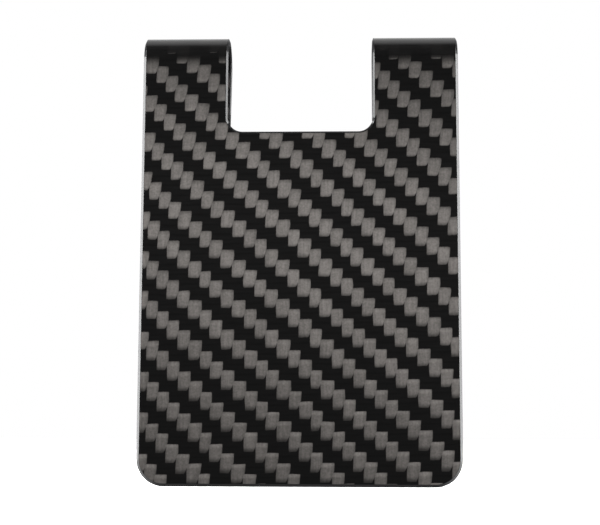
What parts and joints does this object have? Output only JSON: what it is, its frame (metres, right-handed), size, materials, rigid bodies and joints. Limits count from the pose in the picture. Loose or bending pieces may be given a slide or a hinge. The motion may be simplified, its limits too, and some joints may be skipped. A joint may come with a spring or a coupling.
{
  "type": "money clip",
  "caption": "Carbon-fibre money clip: a flat notched front plate whose two arms bend over the top into springy loops and carry a rear tongue that grips notes and cards.",
  "frame": {"origin": "bottom centre of the closed clip's bounding box, straight below the middle of the loops", "axes": "+X across the clip, towards the right when the front plate is looked at; +Y from the front plate towards the tongue; +Z along the clip from its lower edge to the loops"},
  "size_m": [0.0536, 0.0092, 0.0766],
  "materials": {
    "outer_twill": "twill carbon fibre in clear gloss resin",
    "core": "carbon laminate with a milled and sealed edge",
    "inner_twill": "twill carbon fibre in clear gloss resin"
  },
  "bodies": {
    "front": {"front_outer_twill": "outer_twill", "front_core": "core", "front_inner_twill": "inner_twill"},
    "loops": {"left_loop_outer_twill": "outer_twill", "left_loop_core": "core", "left_loop_inner_twill": "inner_twill", "right_loop_outer_twill": "outer_twill", "right_loop_core": "core", "right_loop_inner_twill": "inner_twill"},
    "tongue": {"tongue_outer_twill": "outer_twill", "tongue_core": "core", "tongue_inner_twill": "inner_twill"}
  },
  "joints": [
    {"name": "front_flex", "type": "hinge", "parent": "front", "child": "loops", "pos_m": [0, -0.00385, 0.068], "axis": [1, 0, 0], "range_deg": [0, 2.5], "stiffness_Nm_per_rad": 2},
    {"name": "rear_flex", "type": "hinge", "parent": "loops", "child": "tongue", "pos_m": [0, 0.00309, 0.068], "axis": [1, 0, 0], "range_deg": [0, 2.5], "stiffness_Nm_per_rad": 2}
  ],
  "couplings": [
    {"joint": "rear_flex", "follows": "front_flex", "ratio": 1}
  ]
}
